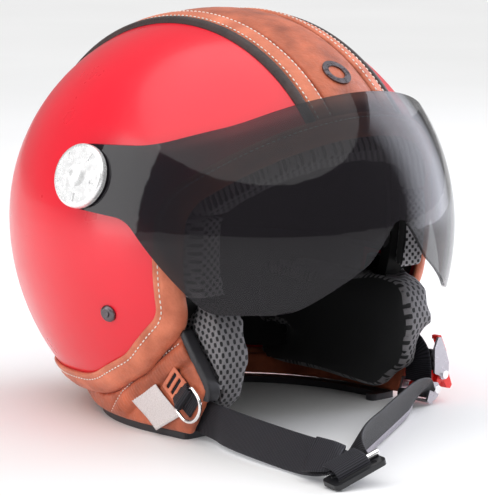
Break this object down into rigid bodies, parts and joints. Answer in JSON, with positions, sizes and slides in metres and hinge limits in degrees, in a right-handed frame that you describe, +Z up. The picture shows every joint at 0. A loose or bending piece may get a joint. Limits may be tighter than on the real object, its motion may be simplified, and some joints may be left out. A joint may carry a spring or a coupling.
{
  "type": "open-face motorcycle helmet",
  "caption": "Open-face scooter helmet with leather trim and neck skirt, bubble visor on side pivots, padded mesh lining and ratchet-buckle chin strap.",
  "frame": {"origin": "on the ground plane under the middle of the shell, at the level of the flat bottom rim", "axes": "+Z up, face opening towards -Y, back of the head towards +Y, wearer's right towards -X"},
  "size_m": [0.2736, 0.3638, 0.2461],
  "materials": {
    "shell_red": "gloss lacquer",
    "foam": "moulded foam, black",
    "liner_fabric": "soft lining cloth",
    "mesh_fabric": "air mesh over black cloth",
    "leather_brown": "grained, stitched",
    "leather_dark": "dark piping",
    "rim_rubber": "satin",
    "visor_smoke": "smoke-tinted, clear",
    "pivot_plastic": "satin",
    "bright_metal": "polished",
    "steel": "satin",
    "webbing_black": "ribbed webbing",
    "buckle_red": "gloss",
    "label_cloth": "woven, blank",
    "badge_metal": "satin"
  },
  "bodies": {
    "helmet": {"adjuster_bar": "steel", "anchor_plate_left": "steel", "anchor_plate_right": "steel", "base_rim": "rim_rubber", "blank_label": "label_cloth", "brow_band": "mesh_fabric", "buckle_cover": "buckle_red", "buckle_hook": "steel", "buckle_housing": "steel", "buckle_spring": "steel", "buckle_tongue": "buckle_red", "cheek_pad_left": "mesh_fabric", "cheek_pad_right": "mesh_fabric", "chin_strap": "webbing_black", "crown_liner": "liner_fabric", "crown_panel": "leather_brown", "crown_piping_left": "leather_dark", "crown_piping_right": "leather_dark", "crown_strip_left": "leather_brown", "crown_strip_right": "leather_brown", "edge_trim": "leather_brown", "eps_liner": "foam", "forehead_badge": "badge_metal", "front_welt_left": "liner_fabric", "front_welt_right": "liner_fabric", "hook_pin": "bright_metal", "lever_pin": "bright_metal", "neck_roll": "liner_fabric", "neck_skirt": "leather_brown", "outer_shell": "shell_red", "pivot_base_left": "pivot_plastic", "pivot_base_right": "pivot_plastic", "pivot_insert_left": "steel", "pivot_insert_right": "steel", "pivot_screw_left": "steel", "pivot_screw_right": "steel", "ring_loop": "webbing_black", "ring_tab": "leather_brown", "strap_adjuster": "pivot_plastic", "strap_end": "webbing_black", "strap_left": "webbing_black", "strap_right": "webbing_black", "strap_rivet_left": "bright_metal", "strap_rivet_right": "bright_metal", "temple_pad_left": "mesh_fabric", "temple_pad_right": "mesh_fabric"},
    "visor": {"visor": "visor_smoke", "pivot_disc_right": "bright_metal", "pivot_disc_left": "bright_metal"},
    "d_ring": {"d_ring": "bright_metal"},
    "buckle_lever": {"buckle_lever": "buckle_red"}
  },
  "joints": [
    {"name": "visor_hinge", "type": "hinge", "parent": "helmet", "child": "visor", "pos_m": [0, -0.007, 0.1545], "axis": [-1, 0, 0], "range_deg": [0, 60]},
    {"name": "d_ring_swing", "type": "hinge", "parent": "helmet", "child": "d_ring", "pos_m": [-0.0982, -0.0614, 0.0271], "axis": [0, 0.65, -0.76], "range_deg": [0, 120]},
    {"name": "lever_hinge", "type": "hinge", "parent": "helmet", "child": "buckle_lever", "pos_m": [0.097, -0.0765, 0.0184], "axis": [0, -1, 0], "range_deg": [0, 25], "stiffness_Nm_per_rad": 0.05, "springref_deg": -17.19}
  ]
}
